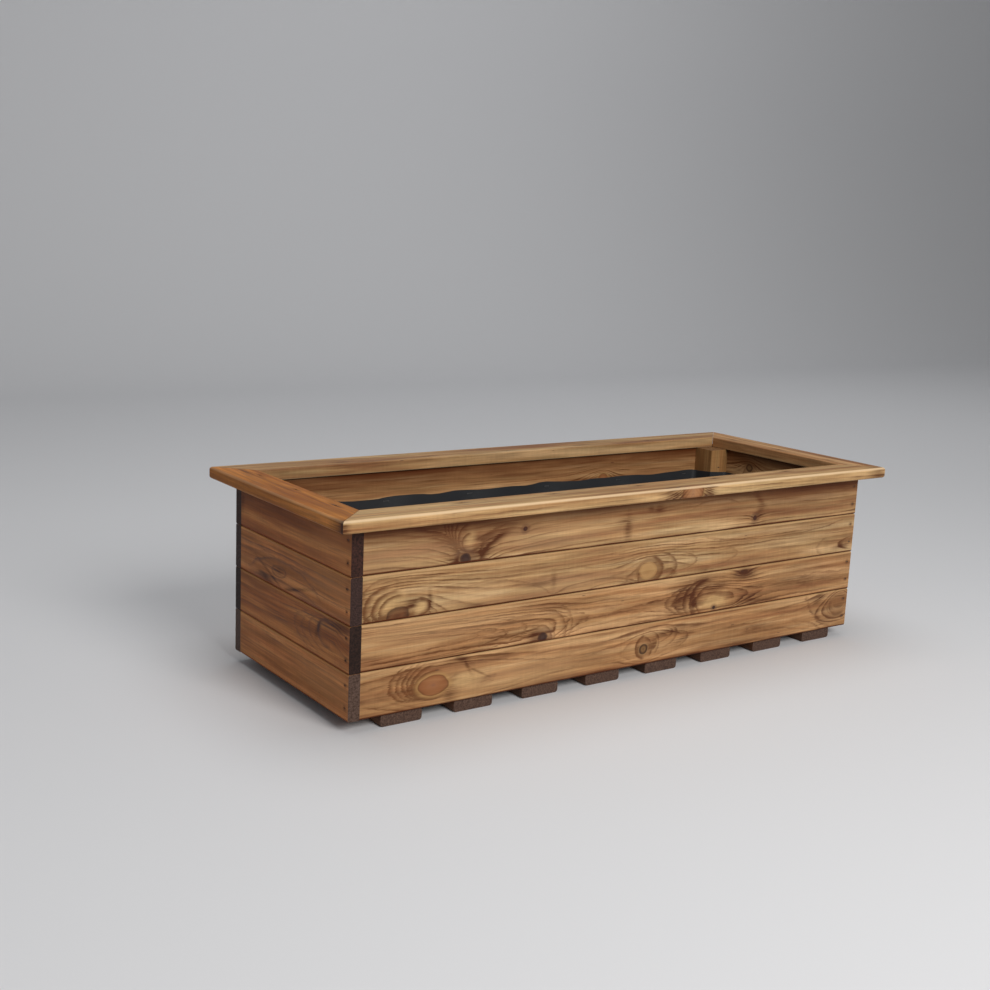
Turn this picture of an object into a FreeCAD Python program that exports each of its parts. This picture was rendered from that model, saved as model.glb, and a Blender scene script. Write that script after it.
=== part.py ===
import FreeCAD, Part
import os

# Trough planter in planed softwood: four courses of boards lapped round the corners like a pinwheel,
# four corner posts, a slatted floor that also makes the feet, a mitred rim and a stapled liner.
# Millimetres, +Z up, +X along the trough, front wall towards -Y.
# The origin is on the ground, under the middle of the trough.

# The trough over its wall boards
trough_length = 1040.0
trough_depth = 375.0

# Wall boards: planed stock with eased edges, stacked in courses
board_width = 69.5
board_thickness = 19.0
board_edge_radius = 2.5
course_count = 4
course_gap = 0.5

# Sawn corner posts that tie the courses together from inside
post_size = 44.0

# Floor slats under the walls, with rounder edges than the walls
slat_width = 69.5
slat_thickness = 19.0
slat_edge_radius = 5.0
slat_count = 8
slat_setback = 5.0          # slat ends behind the wall faces
first_slat_margin = 56.5    # left wall face to the first slat
last_slat_margin = 37.0     # last slat to the right wall face

# Mitred rim rails on top of the walls
rim_width = 57.5
rim_thickness = 19.0
rim_overhang = 32.0         # past the wall faces
rim_outer_radius = 4.5
rim_inner_radius = 2.0
mitre_gap = 0.6             # open line of each mitre

# T-head brads from a nail gun: flat wire with a wider head, set below the wood's face
brad_length = 45.0
brad_shank_width = 2.0
brad_thickness = 1.8
brad_head_width = 4.2
brad_head_height = 1.4
brad_point_length = 3.0
brad_set = 0.8
brad_cover = 6.0            # wood left beyond the point of a post brad
corner_brad_shares = (0.27, 0.74)      # of a board's width, up from its lower edge
post_brad_share = 0.5                  # of a board's width, up from its lower edge
slat_brad_spread = 34.0     # between the two brads at a slat's end
rim_brad_inset_long = 184.0  # first brad from the wall's end, long rails
rim_brad_inset_short = 65.0
rim_brads_long = 5
rim_brads_short = 3

# Liner: one black sheet over the floor and up the walls, stapled below the rim
liner_thickness = 0.8
liner_clearance = 0.3       # to the wood all round
liner_top_drop = 42.0       # top edge below the rim
staple_crown = 11.0
staple_leg = 9.0
staple_wire_width = 1.2
staple_wire_thickness = 0.7
staple_drop = 9.0           # below the liner's top edge
staple_post_margin = 30.0   # first staple from the post
staples_long = 6
staples_short = 2

# How far a cutting tool runs past the face that it opens
overrun = 2.0

# Heights and half sizes that the pieces share
half_length = trough_length / 2
half_depth = trough_depth / 2
course_pitch = board_width + course_gap
wall_foot = slat_thickness
wall_top = wall_foot + course_count * course_pitch - course_gap
rim_top = wall_top + rim_thickness
liner_floor = wall_foot + liner_clearance
liner_top = wall_top - liner_top_drop

# Each wall is drawn along X with its outer face towards -Y, then turned about Z to its side.
# name, turn in degrees, half of the wall's own length, centre to its outer face
sides = (
    ("front", 0, half_length, half_depth),
    ("right", 90, half_depth, half_length),
    ("back", 180, half_length, half_depth),
    ("left", 270, half_depth, half_length),
)
up = FreeCAD.Vector(0, 0, 1)
down = FreeCAD.Vector(0, 0, -1)
inward = FreeCAD.Vector(0, 1, 0)
outward = FreeCAD.Vector(0, -1, 0)


def point(x, y, z):
    return FreeCAD.Vector(x, y, z)


def turned(shape, degrees):
    copy = shape.copy()
    copy.rotate(point(0, 0, 0), up, degrees)
    return copy


def moved(shape, x, y, z):
    copy = shape.copy()
    copy.translate(point(x, y, z))
    return copy


def spread(first, last, count):
    if count == 1:
        return [(first + last) / 2]
    step = (last - first) / (count - 1)
    return [first + i * step for i in range(count)]


# Planed stock

def rounded_section(x, width, height, radius_low_y, radius_high_y):
    """Rectangle in the YZ plane at x, centred on the X axis, its edges rounded on the -Y and +Y sides."""
    half_w, half_h = width / 2, height / 2
    diagonal = 0.5 ** 0.5
    corners = (
        (-half_w, -half_h, radius_low_y, -1, -1),
        (half_w, -half_h, radius_high_y, 1, -1),
        (half_w, half_h, radius_high_y, 1, 1),
        (-half_w, half_h, radius_low_y, -1, 1),
    )
    arcs = []
    for corner_y, corner_z, radius, sign_y, sign_z in corners:
        centre_y = corner_y - sign_y * radius
        centre_z = corner_z - sign_z * radius
        on_y_side = point(x, corner_y, centre_z)
        on_z_side = point(x, centre_y, corner_z)
        middle = point(x, centre_y + sign_y * radius * diagonal, centre_z + sign_z * radius * diagonal)
        runs_from_y_side = sign_y * sign_z > 0
        ends = (on_y_side, on_z_side) if runs_from_y_side else (on_z_side, on_y_side)
        arcs.append((ends[0], middle, ends[1]))
    edges = []
    for i, (start, middle, end) in enumerate(arcs):
        edges.append(Part.Arc(start, middle, end).toShape())
        next_start = arcs[(i + 1) % len(arcs)][0]
        edges.append(Part.LineSegment(end, next_start).toShape())
    return Part.Face(Part.Wire(edges))


def planed_bar(start_x, end_x, width, height, radius_low_y, radius_high_y):
    section = rounded_section(start_x, width, height, radius_low_y, radius_high_y)
    return section.extrude(point(end_x - start_x, 0, 0))


# Walls, posts, floor and rim

def wall_board(half_run, half_reach, course):
    """One board of a wall. Its -X end butts against the next wall, and its +X end laps over the other."""
    bar = planed_bar(-half_run + board_thickness, half_run, board_thickness, board_width,
                     board_edge_radius, board_edge_radius)
    middle_z = wall_foot + course * course_pitch + board_width / 2
    return moved(bar, 0, -half_reach + board_thickness / 2, middle_z)


def corner_post(sign_x, sign_y):
    bar = Part.makeBox(post_size, post_size, wall_top - wall_foot)
    inset = board_thickness + post_size / 2
    centre_x = sign_x * (half_length - inset)
    centre_y = sign_y * (half_depth - inset)
    return moved(bar, centre_x - post_size / 2, centre_y - post_size / 2, wall_foot)


def slat_centres():
    first = -half_length + first_slat_margin + slat_width / 2
    last = half_length - last_slat_margin - slat_width / 2
    return spread(first, last, slat_count)


def floor_slat(centre_x):
    half_slat = half_depth - slat_setback
    bar = planed_bar(-half_slat, half_slat, slat_width, slat_thickness, slat_edge_radius, slat_edge_radius)
    return moved(turned(bar, 90), centre_x, 0, slat_thickness / 2)


def rim_rail(half_run, half_reach):
    """One rail along X with its outer edge towards -Y, cut to a mitre at both ends."""
    outer_x = half_run + rim_overhang
    outer_y = -half_reach - rim_overhang
    bar = planed_bar(-outer_x, outer_x, rim_width, rim_thickness, rim_outer_radius, rim_inner_radius)
    bar = moved(bar, 0, outer_y + rim_width / 2, wall_top + rim_thickness / 2)
    # The mitre runs at 45 degrees, so half of its gap measures 1.41 times as much along the rail.
    setback = mitre_gap / 2 * 2 ** 0.5
    outer_half = outer_x - setback
    inner_half = outer_half - rim_width
    outline = Part.makePolygon([
        point(-outer_half, outer_y, wall_top),
        point(outer_half, outer_y, wall_top),
        point(inner_half, outer_y + rim_width, wall_top),
        point(-inner_half, outer_y + rim_width, wall_top),
        point(-outer_half, outer_y, wall_top),
    ])
    mitred = Part.Face(outline).extrude(point(0, 0, rim_thickness))
    return bar.common(mitred).Solids[0]


# Fasteners. Each is a pair: the solid, and the tool that opens its hole in the wood.

def brad(length, pocket, point_length):
    """T-head brad along -Z with the top of its head at zero, a pocket above the head, and a chisel point."""
    half_head, half_shank = brad_head_width / 2, brad_shank_width / 2
    right = [(half_head, pocket), (half_head, -brad_head_height), (half_shank, -brad_head_height),
             (half_shank, -length + point_length)]
    left = [(-x, z) for x, z in reversed(right)]
    tip = [(0, -length)] if point_length else []
    outline = right + tip + left + right[:1]
    half_thick = brad_thickness / 2
    wire = Part.makePolygon([point(x, -half_thick, z) for x, z in outline])
    return Part.Face(wire).extrude(point(0, brad_thickness, 0))


def driven(place, direction, length):
    """A brad whose head is set below the face at place, driven along direction. Its hole has a flat end."""
    solid = brad(length, 0, brad_point_length)
    hole = brad(length, brad_set + overrun, 0)
    for shape in (solid, hole):
        shape.Placement = FreeCAD.Placement(place + direction * brad_set, FreeCAD.Rotation(down, direction))
    return solid, hole


def staple(x, half_reach):
    """A staple whose crown holds the liner to a wall at x along it."""
    liner_face = -half_reach + board_thickness + liner_clearance + liner_thickness
    half_crown = staple_crown / 2
    half_inside = half_crown - staple_wire_thickness
    crown_face = liner_face + staple_wire_thickness
    leg_end = liner_face - staple_leg
    low_z = liner_top - staple_drop - staple_wire_width / 2
    outline = [(-half_crown, crown_face), (half_crown, crown_face), (half_crown, leg_end),
               (half_inside, leg_end), (half_inside, liner_face), (-half_inside, liner_face),
               (-half_inside, leg_end), (-half_crown, leg_end), (-half_crown, crown_face)]
    wire = Part.makePolygon([point(x + along, y, low_z) for along, y in outline])
    solid = Part.Face(wire).extrude(point(0, 0, staple_wire_width))
    return solid, solid


def on_side(pair, degrees):
    return tuple(turned(shape, degrees) for shape in pair)


def course_heights(share):
    return [wall_foot + course * course_pitch + share * board_width for course in range(course_count)]


def corner_brads():
    """Through each lapped board end into the end grain of the board that butts behind it."""
    pairs = []
    for name, degrees, half_run, half_reach in sides:
        for share in corner_brad_shares:
            for height in course_heights(share):
                place = point(half_run - board_thickness / 2, -half_reach, height)
                pairs.append(on_side(driven(place, inward, brad_length), degrees))
    return pairs


def post_brads():
    """From inside, through each post into every course of the long walls."""
    length = post_size + board_thickness - brad_set - brad_cover
    pairs = []
    for name, degrees, half_run, half_reach in sides[::2]:
        post_x = half_run - board_thickness - post_size / 2
        post_face = -half_reach + board_thickness + post_size
        for x in (-post_x, post_x):
            for height in course_heights(post_brad_share):
                pairs.append(on_side(driven(point(x, post_face, height), outward, length), degrees))
    return pairs


def floor_brads():
    """Up through both ends of each slat into the lower edges of the long walls."""
    pairs = []
    wall_middle = half_depth - board_thickness / 2
    for centre_x in slat_centres():
        for offset in (-slat_brad_spread / 2, slat_brad_spread / 2):
            for y in (-wall_middle, wall_middle):
                pairs.append(driven(point(centre_x + offset, y, 0), up, brad_length))
    return pairs


def rim_brads():
    """Down through the rim into the top edges of the walls."""
    pairs = []
    for name, degrees, half_run, half_reach in sides:
        is_long = name in ("front", "back")
        inset = rim_brad_inset_long if is_long else rim_brad_inset_short
        count = rim_brads_long if is_long else rim_brads_short
        for x in spread(-half_run + inset, half_run - inset, count):
            place = point(x, -half_reach + board_thickness / 2, rim_top)
            pairs.append(on_side(driven(place, down, brad_length), degrees))
    return pairs


def liner_staples():
    pairs = []
    for name, degrees, half_run, half_reach in sides:
        count = staples_long if name in ("front", "back") else staples_short
        last = half_run - board_thickness - post_size - staple_post_margin
        for x in spread(-last, last, count):
            pairs.append(on_side(staple(x, half_reach), degrees))
    return pairs


# Liner

def liner_prism(inset, low_z, high_z):
    """The trough's inside, drawn in by inset from the boards and the four posts."""
    wall_x = half_length - board_thickness - inset
    wall_y = half_depth - board_thickness - inset
    post_x = wall_x - post_size
    post_y = wall_y - post_size
    quarter = [(post_x, -wall_y), (post_x, -post_y), (wall_x, -post_y),
               (wall_x, post_y), (post_x, post_y), (post_x, wall_y)]
    outline = quarter + [(-x, -y) for x, y in quarter] + quarter[:1]
    wire = Part.makePolygon([point(x, y, low_z) for x, y in outline])
    return Part.Face(wire).extrude(point(0, 0, high_z - low_z))


def liner_sheet():
    outside = liner_prism(liner_clearance, liner_floor, liner_top)
    inside = liner_prism(liner_clearance + liner_thickness, liner_floor + liner_thickness, liner_top + overrun)
    return outside.cut(inside)


# Assembly

def drilled(piece, tools):
    """The piece with the hole of every fastener that reaches into it."""
    near = [tool for tool in tools if tool.BoundBox.intersect(piece.BoundBox)]
    return piece.cut(near).Solids[0] if near else piece


def build_pieces():
    pieces = {}
    for name, degrees, half_run, half_reach in sides:
        wall = name if name in ("front", "back") else name + "_end"
        for course in range(course_count):
            board = wall_board(half_run, half_reach, course)
            pieces["%s_board_%d" % (wall, course + 1)] = turned(board, degrees)
        pieces["%s_rim_rail" % name] = turned(rim_rail(half_run, half_reach), degrees)
    for y_name, sign_y in (("front", -1), ("back", 1)):
        for x_name, sign_x in (("left", -1), ("right", 1)):
            pieces["%s_%s_post" % (y_name, x_name)] = corner_post(sign_x, sign_y)
    for number, centre_x in enumerate(slat_centres(), start=1):
        pieces["floor_slat_%d" % number] = floor_slat(centre_x)
    pieces["liner"] = liner_sheet()
    return pieces


def main():
    fasteners = {
        "corner_brads": corner_brads(),
        "post_brads": post_brads(),
        "floor_brads": floor_brads(),
        "rim_brads": rim_brads(),
        "liner_staples": liner_staples(),
    }
    tools = [tool for pairs in fasteners.values() for solid, tool in pairs]
    os.makedirs("parts", exist_ok=True)
    for name, piece in build_pieces().items():
        drilled(piece, tools).exportStep("parts/%s.step" % name)
    for name, pairs in fasteners.items():
        Part.makeCompound([solid for solid, tool in pairs]).exportStep("parts/%s.step" % name)


main()
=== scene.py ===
import math
import bpy
from mathutils import Matrix, Vector, noise


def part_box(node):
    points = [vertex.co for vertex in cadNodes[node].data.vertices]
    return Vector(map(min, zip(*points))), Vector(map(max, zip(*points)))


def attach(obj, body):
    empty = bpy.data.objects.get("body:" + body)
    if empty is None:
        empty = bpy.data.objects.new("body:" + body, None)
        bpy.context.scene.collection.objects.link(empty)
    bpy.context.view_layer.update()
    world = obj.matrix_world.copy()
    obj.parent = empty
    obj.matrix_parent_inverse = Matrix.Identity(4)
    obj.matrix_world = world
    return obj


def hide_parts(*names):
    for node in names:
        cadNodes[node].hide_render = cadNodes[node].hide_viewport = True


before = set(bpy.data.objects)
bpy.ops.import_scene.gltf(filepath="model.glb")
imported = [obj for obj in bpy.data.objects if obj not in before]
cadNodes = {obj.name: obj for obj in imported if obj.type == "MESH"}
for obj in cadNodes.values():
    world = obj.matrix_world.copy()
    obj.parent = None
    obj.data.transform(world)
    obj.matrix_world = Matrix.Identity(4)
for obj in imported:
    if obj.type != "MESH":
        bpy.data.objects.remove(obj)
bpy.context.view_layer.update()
mm = 0.001  # patterns are worked out in millimetres, the scene is in metres
print("frame loaded, pieces:", len(cadNodes))


def hexToLinear(text):
    channels = [int(text[i:i + 2], 16) / 255 for i in (1, 3, 5)]
    return tuple(c / 12.92 if c <= 0.04045 else ((c + 0.055) / 1.055) ** 2.4 for c in channels) + (1.0,)


def addNode(tree, kind, ins=(), stops=(), **settings):
    # ins: a list in socket order, or a dictionary by socket name; a node stands for its first output
    node = tree.nodes.new("ShaderNode" + kind)
    for key, value in settings.items():
        setattr(node, key, value)
    sockets = [s for s in node.inputs if s.enabled]
    named = ins.items() if isinstance(ins, dict) else enumerate(ins)
    for key, value in named:
        socket = sockets[key] if isinstance(key, int) else next(s for s in sockets if s.name == key)
        if isinstance(value, bpy.types.Node):
            value = next(s for s in value.outputs if s.enabled)
        if isinstance(value, bpy.types.NodeSocket):
            tree.links.new(value, socket)
        else:
            socket.default_value = value
    for i, (position, colour) in enumerate(stops):
        elements = node.color_ramp.elements
        element = elements[i] if i < 2 else elements.new(position)
        element.position = position
        element.color = colour
    return node


def newMaterial(name):
    material = bpy.data.materials.new(name)
    material.use_nodes = True
    material.node_tree.nodes.clear()
    return material, material.node_tree


def closeMaterial(tree, ins):
    shader = addNode(tree, "BsdfPrincipled", ins)
    addNode(tree, "OutputMaterial", [shader])


# Stained pine: planed boards, honey stain that sits dark in the late wood, around knots and in the end grain
pineStain = {
    # painted highlight on the rail's outer arris
    "arrisHighlight": "#e0c39c",         # on the rail's outer arris
    "speck": "#4a332b",
    "bare": "#cba571",           # hard wood beside a knot, which took less stain
    # painted shadow under the rim, with the stain that gathers there
    "rimShadowAndStain": "#5a2a0b",
    "bodyShares": (0.36, 0.5, 0.66),  # where the three shades of a stain stand in the clouds
    "tints": ((0.36, (1.04, 0.99, 0.97, 1)), (0.64, (0.97, 1.0, 1.0, 1))),
    "patterns": {                # mm along and across the grain, detail
        "wave": (300.0, 46.0, 1.5),
        "ripple": (60.0, 15.0, 1.5),
        "jitter": (13.0, 3.2, 1.5),
        "ragged": (24.0, 11.0, 1.0),
        "blotch": (150.0, 26.0, 2.0),
        "streak": (70.0, 6.0, 2.0),
        "fibre": (55.0, 1.2, 3.0),    # coarser than real fibres, so that they show
        "cloud": (320.0, 17.0, 3.0),
        "tint": (160.0, 12.0, 3.0),
        "chatter": (3.5, 60.0, 2.0),  # faint marks of the planer across the board
    },
    "speckLength": (40.0, 9.0),
    "seedSteps": (1371.0, 0.0, 211.0),  # mm that each board's patterns are moved for a seed of 1
    "rippleHeight": 2.0,         # mm that the rings waver
    "jitterHeight": 0.8,
    "drift": 23.0,               # mm over which the rings grow wider and narrower
    "driftRings": 1.4,
    "ringShades": ((0.0, 0.15), (0.07, 0.0), (0.35, 0.08), (0.62, 0.42), (0.86, 1.0), (1.0, 0.15)),
    "ringDepth": (0.25, 1.0),    # faintest and boldest ring
    "patchDepth": (0.45, 1.15),  # rings fade and darken in blotches
    "streakDepth": (0.45, 1.15),
    "crowdReach": 3.2,           # how far round a knot its rings are bold, in reaches of its flow
    "crowdDepth": 0.9,
    "knotRagged": 0.2,           # how far a knot's edge wanders, in radii
    "roundKnots": {"red": 0.35, "pale": 0.35, "ring": 0.35},  # share of that on the smoother kinds
    "boldWidth": 2.4,            # a bold ring's thickness, against the sum of its half length and half height
    "boldPeak": 1.2,
    "boldFall": 0.4,             # its sharp outer side, in shares of its inner one
    "boldEnd": 0.4,              # how softly it ends at its cut
    "fibreShade": (0.72, 1.2),
    "chatterShade": (0.94, 1.05),
    "streakShade": (1.1, 0.86),
    "speckCover": 0.6,
    "bareCover": 0.8,
    "bareRings": 0.2,
    "arrisBand": (3.6, 1.0),     # mm from the edge, where an arris begins to change and where it is full
    # mm below the top edge where the painted rim shadow begins and where it is full
    "underRimBand": (40, 4),
    "pore": 2.5,                 # mm, in the end grain, drawn coarser than it is so that it shows
    "roughness": (0.40, 0.60),   # late wood, early wood
    "fibreRoughness": 0.06,
    "specular": 0.18,
    "reliefStrength": 0.35,
    "relief": 0.5,               # mm
}

# What a knot shows from its middle outwards: share of its radius, colour (or the plank's own), cover
knotKinds = {
    "red": [(0.0, "#8a6048", 0.8), (0.25, "#9c6743", 0.8), (0.6, "#96603a", 0.8), (0.88, "#8a5532", 0.85),
            (1.0, "#6f4426", 0.85), (1.08, "#ac8350", 0.7), (1.2, "#ac8350", 0.4), (1.5, "#8a5f3a", 0.0)],
    "pale": [(0.0, "#ab8352", 0.7), (0.7, "#b38b5a", 0.75), (0.9, "#a57c4b", 0.6), (1.02, "#684427", 0.4),
             (1.2, "#7d5733", 0.4), (1.6, "#7d5733", 0.0)],
    "dark": [(0.0, "#3a2525", 0.95), (0.6, "#2a1919", 0.95), (0.85, "#3a2420", 0.9), (1.05, "#6b4a30", 0.6),
             (1.5, "#533830", 0.4), (2.4, "#533830", 0.0)],
    "ring": [(0.0, "#65492c", 0.8), (0.4, "#83633d", 0.75), (0.66, "#553b24", 0.85), (0.9, "#34231a", 0.9),
             (1.12, "#94704a", 0.6), (1.5, "#7d5737", 0.35), (2.2, "#7d5737", 0.0)],
    "burr": [(0.0, "#5a331d", 0.9), (0.5, "#693f24", 0.85), (0.85, "#53301b", 0.85), (1.0, "#402312", 0.85),
             (1.15, "#7d5632", 0.4), (1.45, "#8a6038", 0.15), (1.8, "#8a5f3a", 0.0)],
    "smear": [(0.0, "smear", 0.85), (0.6, "smear", 0.65), (1.2, "smear", 0.3), (2.0, "smear", 0.0)],
    # broad zones of painted shade, lighter painted shade, and painted light; the darkest kind also draws a
    # few small stain marks
    "paintedShadeAndStain": [(0.0, "smear", 0.45), (0.6, "smear", 0.4), (1.2, "smear", 0.2), (2.2, "smear", 0.0)],
    "paintedShade": [(0.0, "smear", 0.2), (0.7, "smear", 0.17), (1.3, "smear", 0.08), (2.2, "smear", 0.0)],
    "paintedLight": [(0.0, "paintedLightTone", 0.2), (0.7, "paintedLightTone", 0.17), (1.3, "paintedLightTone", 0.08), (2.2, "paintedLightTone", 0.0)],
}
knotSpan = 2.5  # radii that the ramps above cover
throughBoard = 1e5  # mm, so that a mark goes right through
endless = 1e6  # mm, past the end of any board
unseen = (1e-9, 1e-9, 1e-9)  # too little to move a pattern


def plankWood(name, plank):
    # plank: axes and origin of the board, its stain, ring spacing, place of the log's heart and its knots
    material, tree = newMaterial(name)
    turn = Matrix(plank["axes"])
    coords = addNode(tree, "TexCoord")
    place = addNode(tree, "Mapping", {
        "Vector": coords.outputs["Object"],
        "Location": -(turn @ Vector(plank["origin"])) / mm,
        "Rotation": turn.to_euler("XYZ"),
        "Scale": (1 / mm, 1 / mm, 1 / mm),
    })
    seedShift = [plank["seed"] * step for step in pineStain["seedSteps"]]
    seeded = addNode(tree, "VectorMath", [place, seedShift], operation="ADD")
    grain = {}
    for part, (along, across, detail) in pineStain["patterns"].items():
        perMm = (1 / along, 1 / across, 1 / across)
        stretched = addNode(tree, "VectorMath", [seeded, perMm], operation="MULTIPLY")
        grain[part] = addNode(tree, "TexNoise", {"Vector": stretched, "Scale": 1.0, "Detail": detail})
    blotch, streak, fibre = grain["blotch"], grain["streak"], grain["fibre"]

    # growth rings: distance from the heart of the log, which leans a little against the board
    heartV, heartW = plank["heart"]
    log = addNode(tree, "Mapping", {
        "Vector": place,
        "Location": (0, -heartV, heartW),
        "Rotation": (0, -plank["lean"], 0),
    })
    cap = (endless, endless, plank["deepest"])
    capped = addNode(tree, "VectorMath", [log, cap], operation="MINIMUM")
    logFlat = addNode(tree, "VectorMath", [capped, (0, 1, 1)], operation="MULTIPLY")
    field = addNode(tree, "VectorMath", [logFlat], operation="LENGTH").outputs["Value"]
    wavers = {"wave": plank["wave"], "ripple": pineStain["rippleHeight"], "jitter": pineStain["jitterHeight"]}
    for part, height in wavers.items():
        swing = addNode(tree, "MapRange", [grain[part], 0.0, 1.0, -height, height])
        field = addNode(tree, "Math", [field, swing], operation="ADD")
    wander = pineStain["knotRagged"]
    raggedShift = addNode(tree, "MapRange", [grain["ragged"], 0.2, 0.8, -wander, wander])

    # the grain swings round each knot, with a longer tail on one side
    nearest = {}
    crowding = None
    waiting = place
    for number, knot in enumerate(plank["knots"], 1):
        spot = {
            "Vector": waiting,
            "Location": (*knot["at"], 0),
            "Rotation": (0, 0, math.radians(knot.get("turn", 0))),
        }
        if "flow" in knot:
            across, up, tail = knot["flow"]
            calm = knot.get("calm", 0.0)
            widths = (across, up, throughBoard)
            around = addNode(tree, "Mapping", {**spot, "Scale": widths}, vector_type="TEXTURE")
            drawnOut = addNode(tree, "VectorMath", [around, (1 / tail, 1, 1)], operation="MULTIPLY")
            tailed = addNode(tree, "VectorMath", [around, drawnOut], operation="MINIMUM")
            distance = addNode(tree, "VectorMath", [tailed], operation="LENGTH").outputs["Value"]
            outside = addNode(tree, "Math", [distance, calm], operation="MAXIMUM")
            fall = addNode(tree, "Math", [outside, -1 / knot["reach"]], operation="MULTIPLY")
            fallen = addNode(tree, "Math", [fall], operation="EXPONENT")
            field = addNode(tree, "Math", [fallen, knot["lift"], field], operation="MULTIPLY_ADD")
            crowdEdge = calm + pineStain["crowdReach"] * knot["reach"]
            crowd = addNode(tree, "MapRange", [distance, calm, crowdEdge, 1.0, 0.0])
            crowding = addNode(tree, "Math", [crowding, crowd], operation="MAXIMUM") if crowding else crowd
        if "core" in knot:
            kind = knot.get("kind", "smear")
            widths = (*knot["core"], throughBoard)
            core = addNode(tree, "Mapping", {**spot, "Scale": widths}, vector_type="TEXTURE")
            distance = addNode(tree, "VectorMath", [core], operation="LENGTH").outputs["Value"]
            rough = pineStain["roundKnots"].get(kind, 1.0)
            uneven = addNode(tree, "Math", [raggedShift, rough, distance], operation="MULTIPLY_ADD")
            last = nearest.get(kind)
            nearest[kind] = addNode(tree, "Math", [last, uneven], operation="MINIMUM") if last else uneven
            if number % 4 == 0:  # the next ones wait, so that the renderer's node stack doesn't fill up
                waiting = addNode(tree, "VectorMath", [uneven, unseen, place], operation="MULTIPLY_ADD")

    # uneven ring widths, then a slow rise to the late wood and a quick fall
    fieldShare = addNode(tree, "Math", [field, 1 / pineStain["drift"]], operation="MULTIPLY")
    drift = addNode(tree, "TexNoise", {"W": fieldShare, "Scale": 1.0, "Detail": 1.0}, noise_dimensions="1D")
    fewer, more = plank["seed"] - pineStain["driftRings"], plank["seed"] + pineStain["driftRings"]
    driftRings = addNode(tree, "MapRange", [drift, 0.0, 1.0, fewer, more])
    rings = addNode(tree, "Math", [field, 1 / plank["spacing"], driftRings], operation="MULTIPLY_ADD")
    ringShare = addNode(tree, "Math", [rings], operation="FRACT")
    ringNumber = addNode(tree, "Math", [rings], operation="FLOOR")
    ringProfile = addNode(tree, "ValToRGB", [ringShare], stops=[
        (share, (level, level, level, 1)) for share, level in pineStain["ringShades"]])
    ringLuck = addNode(tree, "TexWhiteNoise", {"W": ringNumber}, noise_dimensions="1D")
    ringDepth = addNode(tree, "MapRange", [ringLuck, 0.0, 1.0, *pineStain["ringDepth"]])
    patch = addNode(tree, "MapRange", [blotch, 0.36, 0.64, *pineStain["patchDepth"]],
                    interpolation_type="SMOOTHSTEP")
    if crowding:
        patch = addNode(tree, "Math", [crowding, pineStain["crowdDepth"], patch], operation="MULTIPLY_ADD")
    streakDepth = addNode(tree, "MapRange", [streak, 0.3, 0.65, *pineStain["streakDepth"]])
    ringDepth = addNode(tree, "Math", [ringDepth, streakDepth], operation="MULTIPLY")
    lateRaw = addNode(tree, "Math", [ringProfile, ringDepth], operation="MULTIPLY")
    late = addNode(tree, "Math", [lateRaw, patch], operation="MULTIPLY", use_clamp=True)
    bare = nearest.pop("bare", None)
    if bare:  # hard wood beside a knot shows few rings
        fewRings = addNode(tree, "MapRange", [bare, 0.5, 1.3, pineStain["bareRings"], 1.0])
        late = addNode(tree, "Math", [late, fewRings], operation="MULTIPLY")

    torn = addNode(tree, "MapRange", [fibre, 0.3, 0.7, -0.03, 0.03])
    tornShift = addNode(tree, "Math", [raggedShift, 0.15, torn], operation="MULTIPLY_ADD")

    # single bold rings: an ellipse each, kept on the side where its own x passes the cut
    boldRings = None
    waiting = place
    for number, (u, v, long, tall, degrees, cut, thick, depth) in enumerate(plank["arcs"], 1):
        local = addNode(tree, "Mapping", {
            "Vector": waiting,
            "Location": (u, v, 0),
            "Scale": (long, tall, throughBoard),
            "Rotation": (0, 0, math.radians(degrees)),
        }, vector_type="TEXTURE")
        distance = addNode(tree, "VectorMath", [local], operation="LENGTH").outputs["Value"]
        uneven = addNode(tree, "Math", [distance, tornShift], operation="ADD")
        wide = pineStain["boldWidth"] * thick / (long + tall)  # it darkens slowly outwards and ends sharply
        rise = addNode(tree, "MapRange", [uneven, 1.0 - wide, 1.0, 0.0, pineStain["boldPeak"] * depth])
        fall = addNode(tree, "MapRange", [uneven, 1.0, 1.0 + pineStain["boldFall"] * wide, 1.0, 0.0])
        band = addNode(tree, "Math", [rise, fall], operation="MULTIPLY")
        onward = addNode(tree, "SeparateXYZ", [local])
        onSide = addNode(tree, "MapRange", [onward, cut, cut + pineStain["boldEnd"], 0.0, 1.0])
        arc = addNode(tree, "Math", [band, onSide], operation="MULTIPLY")
        boldRings = addNode(tree, "Math", [boldRings, arc], operation="MAXIMUM") if boldRings else arc
        if number % 4 == 0:  # the next rings wait for these, as the knots do
            waiting = addNode(tree, "VectorMath", [boldRings, unseen, place], operation="MULTIPLY_ADD")
    if boldRings:
        breaks = addNode(tree, "MapRange", [streak, 0.3, 0.7, 0.75, 1.2])
        broken = addNode(tree, "Math", [boldRings, breaks], operation="MULTIPLY", use_clamp=True)
        late = addNode(tree, "Math", [late, broken], operation="MAXIMUM")

    # stain: pale to honey to tan in slow clouds, darker in the late wood
    body = addNode(tree, "ValToRGB", [grain["cloud"]], stops=[
        (share, hexToLinear(shade)) for share, shade in zip(pineStain["bodyShares"], plank["stain"])])
    tint = addNode(tree, "ValToRGB", [grain["tint"]], stops=pineStain["tints"])
    body = addNode(tree, "Mix", [1.0, body, tint], data_type="RGBA", blend_type="MULTIPLY")
    if bare:
        bareCover = addNode(tree, "MapRange", [bare, 0.4, 1.3, pineStain["bareCover"], 0.0])
        body = addNode(tree, "Mix", [bareCover, body, hexToLinear(pineStain["bare"])], data_type="RGBA")
    lateTones = [hexToLinear(shade) for shade in plank["late"]]
    lateTone = addNode(tree, "Mix", [blotch, *lateTones], data_type="RGBA")
    lateShare = addNode(tree, "Math", [late, plank["contrast"]], operation="MULTIPLY")
    colour = addNode(tree, "Mix", [lateShare, body, lateTone], data_type="RGBA")

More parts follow.
